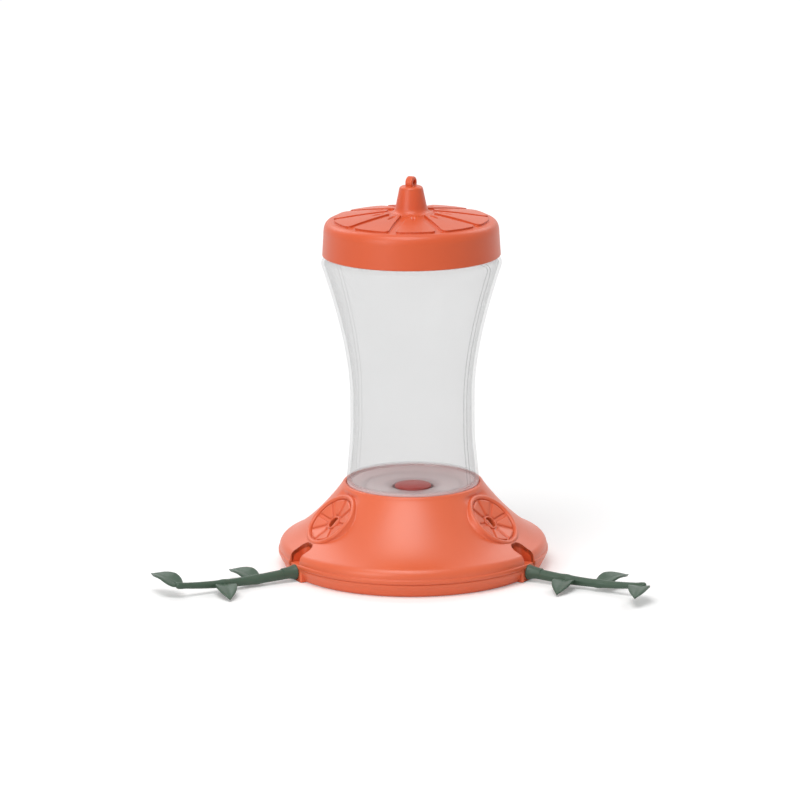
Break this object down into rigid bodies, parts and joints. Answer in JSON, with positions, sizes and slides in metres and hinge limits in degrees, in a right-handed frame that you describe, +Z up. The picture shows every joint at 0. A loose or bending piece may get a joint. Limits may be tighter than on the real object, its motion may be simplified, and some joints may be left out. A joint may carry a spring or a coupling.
{
  "type": "oriole feeder",
  "caption": "Top-filled nectar feeder: clear waisted bottle on a domed cover with orange-slice ports, shallow tray, leafy perches and a screw lid with a hanging eye.",
  "frame": {"origin": "centre of the tray's underside, on the plane that the feeder stands on", "axes": "+Z up along the bottle's axis, -Y towards the front between two of the ports, +X to the right"},
  "size_m": [0.2952, 0.2693, 0.2407],
  "materials": {
    "orange_tray": "satin",
    "orange_cover": "satin",
    "orange_lid": "satin",
    "leaf_green": "matte",
    "clear_bottle": "clear gloss",
    "stopper_red": "gloss",
    "seal_white": "matte"
  },
  "bodies": {
    "base": {"tray": "orange_tray", "perch_left": "leaf_green", "perch_right": "leaf_green", "perch_rear": "leaf_green"},
    "cover_body": {"cover": "orange_cover", "valve_stopper": "stopper_red"},
    "seal": {"reservoir_seal": "seal_white"},
    "bottle": {"reservoir": "clear_bottle"},
    "gasket": {"lid_gasket": "seal_white"},
    "cap": {"lid": "orange_lid"}
  },
  "joints": [
    {"name": "cover_lift", "type": "slide", "parent": "base", "child": "cover_body", "axis": [0, 0, 1], "range_m": [0, 0.04]},
    {"name": "reservoir_lift", "type": "slide", "parent": "cover_body", "child": "seal", "axis": [0, 0, 1], "range_m": [0, 0.0025]},
    {"name": "reservoir_turn", "type": "hinge", "parent": "seal", "child": "bottle", "pos_m": [0, 0, 0.05], "axis": [0, 0, 1], "range_deg": [0, 90]},
    {"name": "lid_lift", "type": "slide", "parent": "bottle", "child": "gasket", "axis": [0, 0, 1], "range_m": [0, 0.024]},
    {"name": "lid_turn", "type": "hinge", "parent": "gasket", "child": "cap", "pos_m": [0, 0, 0.2], "axis": [0, 0, 1], "range_deg": [0, 1440]}
  ],
  "couplings": [
    {"joint": "reservoir_lift", "follows": "reservoir_turn", "m_per_rad": 0.0015915},
    {"joint": "lid_lift", "follows": "lid_turn", "m_per_rad": 0.00095493}
  ]
}
